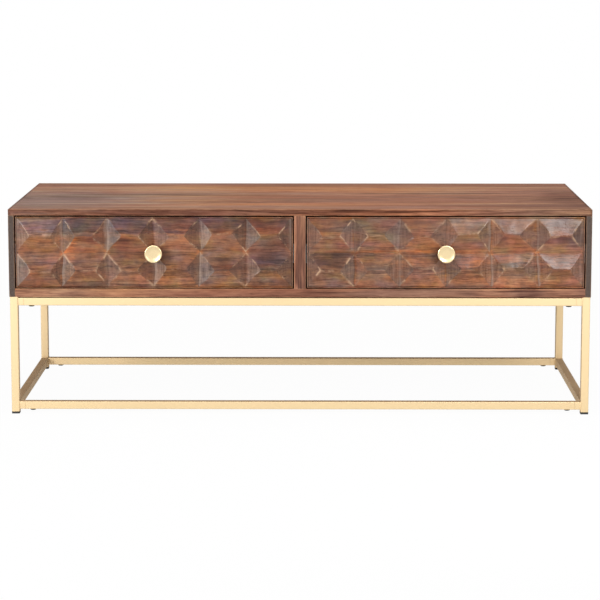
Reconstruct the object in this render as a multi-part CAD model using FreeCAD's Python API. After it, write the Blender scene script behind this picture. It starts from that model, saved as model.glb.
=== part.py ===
import FreeCAD, Part
import math
import os

# Low coffee table: a wooden cabinet with two carved drawers on a square tube frame.
# Millimetres. X runs along the length, -Y is the front with the drawers, +Z is up.
# The origin is on the floor, in the middle of the box that holds the whole table.

Vector = FreeCAD.Vector
right = Vector(1, 0, 0)
backward = Vector(0, 1, 0)
up = Vector(0, 0, 1)
sides = (("left", -1), ("right", 1))

# Overall sizes
length = 1100.0
depth = 500.0
frame_height = 225.0
bay_height = 139.0

# Cabinet boards
top_thickness = 12.0
side_thickness = 11.0
bottom_thickness = 16.0
divider_thickness = 22.0
back_thickness = 10.0
board_edge_round = 1.2

# Wooden dowels of the cabinet and of the drawer boxes
dowel_radius = 3.0
cabinet_dowel_length = 20.0
dowel_in_board = 7.0
box_dowel_length = 30.0
fit_clearance = 0.05
cut_overrun = 2.0
cabinet_dowel_shares = (0.08, 0.36, 0.64, 0.92)
box_dowel_height_shares = (0.26, 0.86)

# Carved drawer fronts
front_side_gap = 2.5
front_gap_above = 2.7
front_gap_below = 1.7
front_setback = 1.5
front_base = 12.0
relief = 9.0
front_border = 3.0
carving_columns = 6
carving_rows = 2
ridge_length = 30.0

# Drawer boxes behind the fronts
box_rear_gap = 36.5
box_lift = 10.0
box_headroom = 19.0
box_side_thickness = 12.0
box_end_thickness = 12.0
box_bottom_thickness = 5.0
box_groove_depth = 6.0
box_groove_lift = 8.0
groove_clearance = 0.1

# Ball slides, one on each side of each drawer box
slide_width = 12.7
slide_height = 35.0
slide_setback = 2.0
slide_rear_gap = 38.0
slide_wall = 1.2
outer_flange_gap = 2.5
ball_radius = 1.7
running_gap = 0.3
stop_tab = 1.2
cage_length = 97.0
cage_wall = 0.8
cage_gap = 0.8
cage_screw_gap = 1.6
balls_per_row = 4

# Knobs
knob_projection = 28.0
knob_radius = 16.5
knob_edge = 5.0
knob_edge_round = 1.5
knob_stem_radius = 6.0
knob_flare = 5.0
knob_rim = 2.4
knob_dish = 1.0
knob_thread_depth = 14.0
seat_clearance = 0.5

# Fasteners
slide_screw_radius = 1.75
slide_screw_length = 8.0
slide_screw_head_radius = 3.5
slide_screw_head = 1.8
slide_screw_shares = (0.09, 0.91)
front_screw_radius = 2.0
front_screw_length = 19.0
front_screw_head_radius = 4.0
front_screw_head = 2.2
front_screw_width_share = 0.32
front_screw_height_shares = (0.3, 0.8)
knob_screw_radius = 2.0
knob_screw_bite = 10.0
knob_screw_head_radius = 4.0
knob_screw_head = 2.4
rail_bolt_radius = 3.0
rail_bolt_bite = 9.0
rail_bolt_head_radius = 5.5
rail_bolt_head = 2.4
rail_bolt_socket = 4.0
socket_sides = 6
rail_bolt_from_end = 14.0
cabinet_bolt_bite = 11.0
head_round_share = 0.6
socket_depth_share = 0.6

# Square tube frame
tube = 15.0
tube_wall = 1.2
tube_corner = 1.5
frame_inset = 1.0
top_rail_drop = 1.5
lower_rail_lift = 9.0
collar_length = 11.0
spigot_length = 35.0
spigot_clearance = 0.1
foot_lip = 4.0
foot_lip_round = 0.8
foot_plug = 12.0

# Places worked out from the sizes
knob_reach = knob_projection - front_setback
front_y = (knob_reach - depth) / 2
back_y = front_y + depth
half_length = length / 2
cabinet_floor = frame_height + bottom_thickness
cabinet_ceiling = cabinet_floor + bay_height
height = cabinet_ceiling + top_thickness
bay_width = (length - 2 * side_thickness - divider_thickness) / 2
bay_centre = (divider_thickness + bay_width) / 2
back_panel_y = back_y - back_thickness

front_width = bay_width - 2 * front_side_gap
front_height = bay_height - front_gap_above - front_gap_below
front_low = cabinet_floor + front_gap_below
valley_y = front_y + front_setback
box_start_y = valley_y + front_base
box_end_y = back_panel_y - box_rear_gap
box_low = cabinet_floor + box_lift
box_height = bay_height - box_lift - box_headroom
box_half = bay_width / 2 - slide_width
box_inner_half = box_half - box_side_thickness
knob_height = front_low + front_height / 2

slide_front_y = box_start_y + slide_setback
slide_back_y = box_end_y - slide_rear_gap
slide_middle = box_low + box_height / 2
slide_half = slide_height / 2
inner_half = slide_half - slide_wall - 2 * (ball_radius + running_gap)
ball_height = slide_half - slide_wall - running_gap - ball_radius
outer_flange = slide_width - outer_flange_gap
cage_inset = slide_wall + slide_screw_head + cage_screw_gap
inner_flange_inset = cage_inset + cage_wall + cage_gap
ball_inset = (inner_flange_inset + outer_flange) / 2
drawer_travel = slide_back_y - slide_front_y - cage_length - 2 * stop_tab - 2 * running_gap
cage_front_y = slide_front_y + stop_tab + running_gap + drawer_travel / 2

leg_x = half_length - frame_inset - tube / 2
leg_front_y = front_y + frame_inset + tube / 2
leg_back_y = back_y - frame_inset - tube / 2
rail_half = leg_x - tube / 2 - collar_length
top_rail_middle = frame_height - top_rail_drop - tube / 2
top_bar_middle = frame_height - tube / 2
lower_rail_middle = lower_rail_lift + tube / 2


def block(x, y, z):
    """A box between two limits on each axis, given in any order."""
    low = Vector(min(x), min(y), min(z))
    high = Vector(max(x), max(y), max(z))
    size = high - low
    return Part.makeBox(size.x, size.y, size.z, low)


def rod(start, direction, reach, radius):
    """A round bar from a point along a direction."""
    return Part.makeCylinder(radius, reach, start, direction)


def dowel(start, direction, reach):
    return rod(start, direction, reach - 2 * fit_clearance, dowel_radius - fit_clearance)


def save(name, shapes):
    """Write one node, as one solid or as a group of separate solids."""
    if not isinstance(shapes, list):
        shapes = [shapes]
    solids = [solid for shape in shapes for solid in shape.Solids]
    whole = solids[0] if len(solids) == 1 else Part.makeCompound(solids)
    whole.exportStep("parts/" + name + ".step")


def spread(low, high, shares):
    """Places between two limits at the given shares of the way."""
    return [low + (high - low) * share for share in shares]


def pan_screw(seat, direction, radius, reach, head_radius, head_height):
    """A screw whose rounded head stands on the seat and whose shank runs along the direction."""
    head = Part.makeCylinder(head_radius, head_height, seat, -direction)
    outer_end = seat - direction * head_height
    rim = [edge for edge in head.Edges if edge.isClosed() and edge.CenterOfMass.isEqual(outer_end, fit_clearance)]
    head = head.makeFillet(head_height * head_round_share, rim)
    return head.fuse(rod(seat, direction, reach, radius)).removeSplitter()


def screw_hole(seat, direction, radius, reach):
    """The hole that a screw's shank needs, open at the seat."""
    start = seat - direction * cut_overrun
    return rod(start, direction, reach + cut_overrun + fit_clearance, radius + fit_clearance)


def flush_screw(seat, direction, radius, reach, head_radius, head_height):
    """A countersunk screw whose flat head ends at the seat."""
    head = Part.makeCone(head_radius, radius, head_height, seat, direction)
    return head.fuse(rod(seat, direction, reach, radius)).removeSplitter()


def flush_screw_hole(seat, direction, radius, reach, head_radius, head_height):
    cone = Part.makeCone(head_radius + fit_clearance, radius + fit_clearance, head_height, seat, direction)
    return cone.fuse(screw_hole(seat, direction, radius, reach))


def hexagon_prism(centre, direction, across, reach):
    """An upright six-sided prism, for the socket of a bolt."""
    corner_radius = across / math.sqrt(3)
    corners = []
    for step in range(socket_sides + 1):
        turn = step * 2 * math.pi / socket_sides
        corners.append(centre + right * (corner_radius * math.cos(turn))
                       + backward * (corner_radius * math.sin(turn)))
    return Part.Face(Part.makePolygon(corners)).extrude(direction * reach)


# Cabinet boards and their dowels

def cabinet_dowels_and_holes():
    """Dowels that join top, sides, divider and bottom, each with the hole it needs."""
    dowels = []
    holes = []
    rest = cabinet_dowel_length - dowel_in_board
    side_middle = half_length - side_thickness / 2
    upright = [(side * side_middle, cabinet_ceiling - rest) for _, side in sides]
    upright.append((0, cabinet_ceiling - rest))
    upright.append((0, cabinet_floor - dowel_in_board))
    for y in spread(front_y, back_panel_y, cabinet_dowel_shares):
        for x, z in upright:
            start = Vector(x, y, z)
            dowels.append(dowel(start + up * fit_clearance, up, cabinet_dowel_length))
            holes.append(rod(start, up, cabinet_dowel_length, dowel_radius))
        for _, side in sides:
            outward = right * side
            start = Vector(side * (half_length - side_thickness - rest), y, frame_height + bottom_thickness / 2)
            dowels.append(dowel(start + outward * fit_clearance, outward, cabinet_dowel_length))
            holes.append(rod(start, outward, cabinet_dowel_length, dowel_radius))
    return dowels, holes


def cabinet_rail_screws():
    """Screws that hold the fixed slide rails to the sides and to the divider."""
    screws = []
    holes = []
    for _, side in sides:
        for _, hand in sides:
            wall_x = side * bay_centre + hand * bay_width / 2
            outward = right * hand
            for y in spread(slide_front_y, slide_back_y, slide_screw_shares):
                seat = Vector(wall_x - hand * slide_wall, y, slide_middle)
                reach = slide_wall + slide_screw_length
                screws.append(pan_screw(seat, outward, slide_screw_radius, reach,
                                        slide_screw_head_radius, slide_screw_head))
                holes.append(screw_hole(seat, outward, slide_screw_radius, reach))
    return screws, holes


def button_bolts(rail_middle, reach):
    """Bolts with a hexagon socket that come up through the ends of a pair of long rails."""
    bolts = []
    holes = []
    for y in (leg_front_y, leg_back_y):
        for _, side in sides:
            seat = Vector(side * (rail_half - rail_bolt_from_end), y, rail_middle - tube / 2)
            bolt = pan_screw(seat, up, rail_bolt_radius, reach, rail_bolt_head_radius, rail_bolt_head)
            socket = hexagon_prism(seat - up * rail_bolt_head, up, rail_bolt_socket,
                                   rail_bolt_head * socket_depth_share)
            bolts.append(bolt.cut(socket))
            holes.append(screw_hole(seat, up, rail_bolt_radius, reach))
    return bolts, holes


def cabinet_bolts():
    """The upper bolts run through rail and connector into the bottom of the cabinet."""
    return button_bolts(top_rail_middle, tube + top_rail_drop + cabinet_bolt_bite)


def rail_bolts():
    """The lower bolts only clamp each rail to its connector."""
    return button_bolts(lower_rail_middle, tube_wall + spigot_clearance + rail_bolt_bite)


def rounded_top():
    """The top board, with its upper edges and upright corners eased."""
    board = block((-half_length, half_length), (front_y, back_y), (cabinet_ceiling, height))
    edges = []
    for edge in board.Edges:
        upper = edge.BoundBox.ZMin > height - top_thickness / 2
        upright = edge.BoundBox.ZLength > top_thickness / 2
        if upper or upright:
            edges.append(edge)
    return board.makeFillet(board_edge_round, edges)


def make_cabinet():
    dowels, holes = cabinet_dowels_and_holes()
    rail_screws, rail_holes = cabinet_rail_screws()
    bolts, bolt_holes = cabinet_bolts()
    inside_x = half_length - side_thickness
    save("top_panel", rounded_top().cut(holes))
    bottom = block((-inside_x, inside_x), (front_y, back_y), (frame_height, cabinet_floor))
    save("bottom_panel", bottom.cut(holes + bolt_holes))
    for name, side in sides:
        board = block((side * half_length, side * inside_x), (front_y, back_y), (frame_height, cabinet_ceiling))
        save(name + "_side_panel", board.cut(holes + rail_holes))
    half_divider = divider_thickness / 2
    divider = block((-half_divider, half_divider), (front_y, back_panel_y), (cabinet_floor, cabinet_ceiling))
    save("centre_divider", divider.cut(holes + rail_holes))
    back = block((-inside_x, inside_x), (back_panel_y, back_y), (cabinet_floor, cabinet_ceiling))
    save("back_panel", back)
    save("cabinet_dowels", dowels)
    save("cabinet_rail_screws", rail_screws)
    save("cabinet_bolts", bolts)


# Slides. A fixed rail on the cabinet, a ball cage and a rail on the drawer box.

def slide_block(wall_x, hand, x, y, z):
    """A box in a slide, whose x is counted from the cabinet wall towards the drawer."""
    return block([wall_x - hand * place for place in x], y, [slide_middle + place for place in z])


def slide_rails(wall_x, hand):
    """The fixed channel and the moving channel of one slide, with their stop tabs."""
    run = (slide_front_y, slide_back_y)
    fixed = [slide_block(wall_x, hand, (0, slide_wall), run, (-slide_half, slide_half))]
    moving_web = (slide_width - slide_wall, slide_width)
    moving = [slide_block(wall_x, hand, moving_web, run, (-inner_half, inner_half))]
    tab_x = (inner_flange_inset, outer_flange)
    for level in (-1, 1):
        fixed_z = (level * (slide_half - slide_wall), level * slide_half)
        fixed.append(slide_block(wall_x, hand, (0, outer_flange), run, fixed_z))
        moving_z = (level * (inner_half - slide_wall), level * inner_half)
        moving.append(slide_block(wall_x, hand, (inner_flange_inset, slide_width), run, moving_z))
        fixed_tab_z = (level * (inner_half + running_gap), level * slide_half)
        fixed_tab_y = (slide_front_y, slide_front_y + stop_tab)
        fixed.append(slide_block(wall_x, hand, tab_x, fixed_tab_y, fixed_tab_z))
        moving_tab_z = (level * inner_half, level * (slide_half - slide_wall - running_gap))
        moving_tab_y = (slide_back_y - stop_tab, slide_back_y)
        moving.append(slide_block(wall_x, hand, tab_x, moving_tab_y, moving_tab_z))
    in_stop_y = (slide_back_y + running_gap, slide_back_y + running_gap + stop_tab)
    tongue_y = (slide_back_y, slide_back_y + running_gap + stop_tab)
    fixed.append(slide_block(wall_x, hand, (0, slide_wall), tongue_y, (-inner_half, inner_half)))
    fixed.append(slide_block(wall_x, hand, (0, slide_width - slide_wall / 2), in_stop_y, (-inner_half, inner_half)))
    return fixed[0].multiFuse(fixed[1:]).removeSplitter(), moving[0].multiFuse(moving[1:]).removeSplitter()


def ball_cage(wall_x, hand):
    """The cage of one slide and its balls, as separate solids."""
    run = (cage_front_y, cage_front_y + cage_length)
    half_wall = cage_wall / 2
    reach = ball_height + half_wall
    pieces = [slide_block(wall_x, hand, (cage_inset, cage_inset + cage_wall), run, (-reach, reach))]
    balls = []
    for level in (-1, 1):
        strip_z = (level * (ball_height - half_wall), level * reach)
        pieces.append(slide_block(wall_x, hand, (cage_inset, outer_flange), run, strip_z))
        for count in range(balls_per_row):
            y = cage_front_y + cage_length * (count + 0.5) / balls_per_row
            centre = Vector(wall_x - hand * ball_inset, y, slide_middle + level * ball_height)
            balls.append(Part.makeSphere(ball_radius, centre))
    cage = pieces[0].multiFuse(pieces[1:]).removeSplitter()
    pockets = []
    for ball in balls:
        middle = ball.CenterOfMass - up * cage_wall
        pockets.append(rod(middle, up, 2 * cage_wall, ball_radius + fit_clearance))
    return [cage.cut(pockets)] + balls


# Drawers

def hip_roof(x, z, width, tall):
    """One raised cell of the carving, a hip roof whose ridge runs along X."""
    half_width = width / 2
    half_tall = tall / 2
    base = []
    for step_x, step_z in ((-1, -1), (1, -1), (1, 1), (-1, 1)):
        base.append(Vector(x + step_x * half_width, valley_y, z + step_z * half_tall))
    ridge = [Vector(x + step * ridge_length / 2, valley_y - relief, z) for step in (-1, 1)]
    outlines = [base]
    outlines.append([base[0], base[1], ridge[1], ridge[0]])
    outlines.append([base[1], base[2], ridge[1]])
    outlines.append([base[2], base[3], ridge[0], ridge[1]])
    outlines.append([base[3], base[0], ridge[0]])
    faces = [Part.Face(Part.makePolygon(outline + outline[:1])) for outline in outlines]
    solid = Part.Solid(Part.Shell(faces))
    solid.fixTolerance(fit_clearance * fit_clearance)
    if solid.Volume < 0:
        solid.reverse()
    return solid


def front_screw_seats(centre):
    seats = []
    for z in spread(box_low, box_low + box_height, front_screw_height_shares):
        for step in (-1, 1):
            x = centre + step * box_half * 2 * front_screw_width_share
            seats.append(Vector(x, box_start_y + box_end_thickness, z))
    return seats


def carved_front(centre, holes):
    """A slab with rows of raised cells and a flat round seat for the knob."""
    x = (centre - front_width / 2, centre + front_width / 2)
    slab = block(x, (valley_y, box_start_y), (front_low, front_low + front_height))
    cell_width = (front_width - 2 * front_border) / carving_columns
    cell_height = (front_height - 2 * front_border) / carving_rows
    cells = []
    for column in range(carving_columns):
        for row in range(carving_rows):
            cell_x = x[0] + front_border + cell_width * (column + 0.5)
            cell_z = front_low + front_border + cell_height * (row + 0.5)
            cells.append(hip_roof(cell_x, cell_z, cell_width, cell_height))
    board = slab.multiFuse(cells).removeSplitter()
    seat = Vector(centre, valley_y, knob_height)
    spot_face = rod(seat, -backward, relief + cut_overrun, knob_stem_radius + seat_clearance)
    return board.cut([spot_face] + holes)


def knob_and_screw(centre):
    """A turned knob with a raised rim, and the screw that holds it from inside the box."""
    seat = Vector(centre, valley_y, knob_height)
    under = knob_projection - knob_edge
    face = knob_projection
    rim_inner = knob_radius - knob_rim
    arc_share = math.sqrt(0.5)
    round_middle = knob_radius - knob_edge_round * (1 - arc_share)
    round_end = knob_radius - knob_edge_round

    def point(radius, outward):
        return seat + right * radius - backward * outward

    def arc(start, middle, end):
        return Part.Arc(start, middle, end).toShape()

    def line(start, end):
        return Part.makeLine(start, end)

    flare_low = under - knob_flare
    flare_bend = knob_flare * (1 - arc_share)
    corners = [point(0, 0), point(knob_stem_radius, 0), point(knob_stem_radius, flare_low)]
    flare_end = point(knob_stem_radius + knob_flare, under)
    flare_middle = point(knob_stem_radius + flare_bend, under - flare_bend)
    low_round = point(round_end, under)
    low_edge = point(knob_radius, under + knob_edge_round)
    high_edge = point(knob_radius, face - knob_edge_round)
    high_round = point(round_end, face)
    step = knob_edge_round * (1 - arc_share)
    edges = [line(corners[0], corners[1]), line(corners[1], corners[2])]
    edges.append(arc(corners[2], flare_middle, flare_end))
    edges.append(line(flare_end, low_round))
    edges.append(arc(low_round, point(round_middle, under + step), low_edge))
    edges.append(line(low_edge, high_edge))
    edges.append(arc(high_edge, point(round_middle, face - step), high_round))
    edges.append(line(high_round, point(rim_inner, face)))
    edges.append(line(point(rim_inner, face), point(rim_inner - knob_dish, face - knob_dish)))
    edges.append(line(point(rim_inner - knob_dish, face - knob_dish), point(0, face - knob_dish)))
    edges.append(line(point(0, face - knob_dish), corners[0]))
    knob = Part.Face(Part.Wire(edges)).revolve(seat, backward, 360)
    thread = rod(seat + backward * cut_overrun, -backward, knob_thread_depth + cut_overrun,
                 knob_screw_radius + fit_clearance)
    head_seat = seat + backward * (front_base + box_end_thickness)
    reach = front_base + box_end_thickness + knob_screw_bite
    screw = pan_screw(head_seat, -backward, knob_screw_radius, reach, knob_screw_head_radius, knob_screw_head)
    hole = screw_hole(head_seat, -backward, knob_screw_radius, reach)
    return knob.cut(thread), screw, hole


def drawer_dowels_and_holes(centre):
    """Through dowels at the four corners of a drawer box."""
    dowels = []
    holes = []
    ends = (box_start_y + box_end_thickness / 2, box_end_y - box_end_thickness / 2)
    for _, hand in sides:
        inward = -right * hand
        for y in ends:
            for z in spread(box_low, box_low + box_height, box_dowel_height_shares):
                start = Vector(centre + hand * box_half, y, z)
                dowels.append(dowel(start, inward, box_dowel_length))
                holes.append(rod(start + right * hand * cut_overrun, inward,
                                 box_dowel_length + cut_overrun, dowel_radius))
    return dowels, holes


def box_bottom_block(centre, grow):
    """The drawer bottom, or with some growth the groove that takes it."""
    reach = box_inner_half + box_groove_depth - groove_clearance + grow
    low = box_low + box_groove_lift
    y = (box_start_y + box_end_thickness - box_groove_depth + groove_clearance - grow,
         box_end_y - box_end_thickness + box_groove_depth - groove_clearance + grow)
    return block((centre - reach, centre + reach), y, (low - grow, low + box_bottom_thickness + grow))


def make_drawer(name, side, wall_holes):
    centre = side * bay_centre
    drawer = name + "_drawer"
    knob, knob_screw, knob_hole = knob_and_screw(centre)
    dowels, dowel_holes = drawer_dowels_and_holes(centre)
    seats = front_screw_seats(centre)
    sizes = (front_screw_radius, front_screw_length, front_screw_head_radius, front_screw_head)
    front_screws = [flush_screw(seat, -backward, *sizes) for seat in seats]
    front_holes = [flush_screw_hole(seat, -backward, *sizes) for seat in seats]
    groove = box_bottom_block(centre, groove_clearance)
    box_z = (box_low, box_low + box_height)

    save(drawer + "_front", carved_front(centre, front_holes + [knob_hole]))
    inner_x = (centre - box_inner_half, centre + box_inner_half)
    box_front = block(inner_x, (box_start_y, box_start_y + box_end_thickness), box_z)
    save(drawer + "_box_front", box_front.cut(front_holes + [knob_hole, groove] + dowel_holes))
    box_back = block(inner_x, (box_end_y - box_end_thickness, box_end_y), box_z)
    save(drawer + "_box_back", box_back.cut([groove] + dowel_holes))
    save(drawer + "_box_bottom", box_bottom_block(centre, 0))
    save(drawer + "_knob", knob)
    save(drawer + "_knob_screw", knob_screw)
    save(drawer + "_front_screws", front_screws)
    save(drawer + "_dowels", dowels)

    rail_screws = []
    for hand_name, hand in sides:
        wall_x = centre + hand * bay_width / 2
        rail_x = centre + hand * (box_half + slide_wall)
        holes = []
        for y in spread(slide_front_y, slide_back_y, slide_screw_shares):
            seat = Vector(rail_x, y, slide_middle)
            reach = slide_wall + slide_screw_length
            rail_screws.append(pan_screw(seat, -right * hand, slide_screw_radius, reach,
                                         slide_screw_head_radius, slide_screw_head))
            holes.append(screw_hole(seat, -right * hand, slide_screw_radius, reach))
        box_x = (centre + hand * box_inner_half, centre + hand * box_half)
        box_side = block(box_x, (box_start_y, box_end_y), box_z)
        save(drawer + "_box_" + hand_name + "_side", box_side.cut([groove] + dowel_holes + holes))
        fixed_rail, moving_rail = slide_rails(wall_x, hand)
        save(drawer + "_" + hand_name + "_moving_rail", moving_rail.cut(holes))
        save(drawer + "_" + hand_name + "_fixed_rail", fixed_rail.cut(wall_holes))
        save(drawer + "_" + hand_name + "_ball_cage", ball_cage(wall_x, hand))
    save(drawer + "_rail_screws", rail_screws)


# Square tube frame

def tube_between(start, end):
    """A square tube with rounded corners between two points on one axis."""
    span = end - start
    direction = Vector(span).normalize()
    half = tube / 2
    bore_half = half - tube_wall
    across = [axis for axis in (right, backward, up) if round(abs(axis.dot(direction))) == 0]

    def bar(reach_half, low, high):
        corners = []
        for step_a, step_b in ((-1, -1), (1, -1), (1, 1), (-1, 1), (-1, -1)):
            corners.append(low + across[0] * (step_a * reach_half) + across[1] * (step_b * reach_half))
        return Part.Face(Part.makePolygon(corners)).extrude(high - low)

    outer = bar(half, start, end)
    long_edges = [edge for edge in outer.Edges if abs(edge.Length - span.Length) < fit_clearance
                  and abs((edge.lastVertex().Point - edge.firstVertex().Point).dot(direction)) > fit_clearance]
    outer = outer.makeFillet(tube_corner, long_edges)
    overrun = direction * cut_overrun
    return outer.cut(bar(bore_half, start - overrun, end + overrun))


def rail_rows():
    """The four long rails, with their names and the middle line of each."""
    rows = []
    for end_name, y in (("front", leg_front_y), ("rear", leg_back_y)):
        rows.append((end_name + "_top_rail", y, top_rail_middle))
        rows.append((end_name + "_lower_rail", y, lower_rail_middle))
    return rows


def rail_connector(side, y, z):
    """A collar welded to a leg, with a spigot that goes into the rail."""
    leg_face = side * (rail_half + collar_length)
    bore_half = tube / 2 - tube_wall
    spigot_half = bore_half - spigot_clearance
    collar = tube_between(Vector(side * rail_half, y, z), Vector(leg_face, y, z))
    core = block((leg_face, side * rail_half), (y - bore_half, y + bore_half), (z - bore_half, z + bore_half))
    spigot_x = (leg_face, side * (rail_half - spigot_length))
    spigot = block(spigot_x, (y - spigot_half, y + spigot_half), (z - spigot_half, z + spigot_half))
    return collar.multiFuse([core, spigot]).removeSplitter()


def make_rails():
    _, upper_holes = cabinet_bolts()
    lower_bolts, lower_holes = rail_bolts()
    bolt_holes = upper_holes + lower_holes
    connectors = []
    for name, y, z in rail_rows():
        rail = tube_between(Vector(-rail_half, y, z), Vector(rail_half, y, z))
        save(name, rail.cut(bolt_holes))
        for _, side in sides:
            connectors.append(rail_connector(side, y, z).cut(bolt_holes))
    save("rail_connectors", connectors)
    save("rail_bolts", lower_bolts)


def make_side_frames():
    feet = []
    for name, side in sides:
        x = side * leg_x
        for end_name, y in (("front", leg_front_y), ("rear", leg_back_y)):
            leg = tube_between(Vector(x, y, foot_lip), Vector(x, y, frame_height))
            save(end_name + "_" + name + "_leg", leg)
            feet.append(foot_cap(x, y))
        bar_y = (leg_front_y + tube / 2, leg_back_y - tube / 2)
        for level_name, z in (("top", top_bar_middle), ("lower", lower_rail_middle)):
            bar = tube_between(Vector(x, bar_y[0], z), Vector(x, bar_y[1], z))
            save(name + "_" + level_name + "_side_bar", bar)
    save("foot_caps", feet)


def foot_cap(x, y):
    """A plastic foot: a lip under the leg and a plug inside it."""
    half = tube / 2
    plug_half = half - tube_wall - spigot_clearance
    lip = block((x - half, x + half), (y - half, y + half), (0, foot_lip))
    upright = [edge for edge in lip.Edges if edge.BoundBox.ZLength > foot_lip / 2]
    lip = lip.makeFillet(tube_corner, upright)
    sole = [edge for edge in lip.Edges if edge.BoundBox.ZMax < foot_lip / 2]
    lip = lip.makeFillet(foot_lip_round, sole)
    plug = block((x - plug_half, x + plug_half), (y - plug_half, y + plug_half),
                 (foot_lip / 2, foot_lip + foot_plug))
    return lip.fuse(plug).removeSplitter()


os.makedirs("parts", exist_ok=True)
make_cabinet()
_, fixed_rail_holes = cabinet_rail_screws()
for drawer_name, drawer_side in sides:
    make_drawer(drawer_name, drawer_side, fixed_rail_holes)
make_rails()
make_side_frames()
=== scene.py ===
import math
import random
from itertools import product
from types import SimpleNamespace

import bpy
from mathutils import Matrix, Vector, noise


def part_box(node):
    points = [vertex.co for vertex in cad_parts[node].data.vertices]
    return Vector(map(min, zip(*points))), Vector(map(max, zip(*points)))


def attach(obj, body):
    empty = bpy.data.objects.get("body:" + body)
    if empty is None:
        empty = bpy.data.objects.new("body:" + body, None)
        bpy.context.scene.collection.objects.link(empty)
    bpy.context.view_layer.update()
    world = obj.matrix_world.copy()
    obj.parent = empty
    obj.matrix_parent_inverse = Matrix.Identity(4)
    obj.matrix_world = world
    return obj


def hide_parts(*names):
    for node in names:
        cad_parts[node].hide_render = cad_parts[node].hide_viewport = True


# The looks of a low table: a carved wooden cabinet with two drawers on a gold tube frame.
# Metres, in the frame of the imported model: X runs along the length, -Y is the front, Z is up.

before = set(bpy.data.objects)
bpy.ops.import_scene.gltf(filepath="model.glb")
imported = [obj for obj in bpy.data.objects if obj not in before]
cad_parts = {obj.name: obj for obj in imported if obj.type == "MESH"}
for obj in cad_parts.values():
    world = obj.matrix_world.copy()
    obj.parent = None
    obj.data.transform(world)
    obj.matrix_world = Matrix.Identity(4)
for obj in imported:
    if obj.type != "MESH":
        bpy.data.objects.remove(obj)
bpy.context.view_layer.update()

mm = 0.001
scene = bpy.context.scene
sides = (("left", -1), ("right", 1))
ends = ("front", "rear")
corner_steps = ((0, 0), (1, 0), (1, 1), (0, 1))
levels = ("top", "lower")

# Camera, fitted to the photograph's view
camera_place = Vector((0.0356, -4.6353, 0.874))
camera_down = math.radians(8.46)
camera_turn = math.radians(0.46)
camera_lens = 141.1
camera_reach = 200.0

# Studio. The paper floor glows for rays from the camera and for mirrored ones, less so near the table.
floor_half = 90.0
direct_floor = (0.9, 3.2)
direct_near_glow = 0.97
mirrored_floor = (0.9, 1.7)
mirrored_near_glow = 0.80
floor_white = 0.84
paper_change = 0.01
sky_light = 0.18
white = (1, 1, 1, 1)
lamps = (
    ("left_softbox", Vector((-1.50, -2.05, 0.88)), Vector((-0.25, -0.2, 0.28)), 0.6, 0.6, 31.0),
    ("right_softbox", Vector((0.76, -1.38, 0.80)), Vector((0.50, -0.2, 0.32)), 0.34, 0.30, 9.0),
    ("overhead_softbox", Vector((0.0, -0.1, 2.4)), Vector((0.0, 0.1, 0.3)), 2.2, 1.3, 35.0),
)

# Boards
top_round = 1.2 * mm
board_round = 0.7 * mm
board_steps = 24
wear_reach = 4.0 * mm
glue_line = 0.8 * mm
plank_joints = (62 * mm, 121 * mm, 194 * mm, 244 * mm, 329 * mm, 430 * mm)
plank_tones = (0.02, 0.05, -0.02, -0.05, 0.09, 0.16, 0.03)
plank_seed_scale = 10

# Carving
border = 1.8 * mm
carving_columns = 6
carving_rows = 2
ridge_length = 31.0 * mm
cell_steps_long = 22
cell_steps_short = 18
cell_steps_slope = 12
crowding_share = 0.55
front_edge_round = 0.8 * mm
seat_radius = 6.5 * mm
seat_wall = 0.8 * mm
hand_shift = 3.0 * mm
hand_depth = 1.6 * mm
hollow_depth = 0.7 * mm
tool_depth = 0.14 * mm
tool_density = 230
drift_depth = 2.2 * mm
drift_density = 42
calm_border = 6.0 * mm
crossing_reach = 9.0 * mm
keys_per_metre = 1e6
soft_passes = 4
soft_share = 0.5
rim_slack = 0.01 * mm
front_plank_joints = {"left": 346 * mm, "right": 309 * mm}

# Looks of the facets, in the order lower, right, upper, left
# Tone is painted light and shade by which way a facet faces; warmth and chalk are partly chalky stain, partly
# painted sheen.
facet_painted_shade = {"left": (-0.2, -2.4, 0.0, -0.9), "right": (0.1, -1.2, -0.3, -1.5)}
facet_warmth_and_sheen = {"left": (0.2, 0.8, 0.0, -0.3), "right": (0.0, -0.2, -0.1, 0.2)}
facet_chalk_and_sheen = {"left": (0.0, 0.0, 0.0, 0.8), "right": (0.0, 0.3, 0.0, 0.2)}
# The border is painted lighter, besides its wear, and the slab's sides, seen in the gaps, are painted darker.
border_wear_and_painted_light = {"tone": 2.0, "wear": 0.4}
painted_gap_shade = {"tone": -3.4}

# Gold frame
tube_corner = 1.5 * mm
tube_end_round = 0.45 * mm
collar_length = 11.0 * mm
weld_radius = 0.9 * mm
weld_unevenness = 0.35
weld_corner_steps = 6
weld_turns = 8

# Knobs
knob_stem = 6.0 * mm
knob_foot_round = 0.3 * mm
knob_edge = 5.0 * mm
knob_edge_round = 1.5 * mm
knob_flare = 5.0 * mm
knob_rim = 2.2 * mm
knob_bowl_steps = 14
knob_bowl_power = 2.0
knob_dish = 1.5 * mm
knob_flat_share = 0.42
knob_turns = 96

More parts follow.
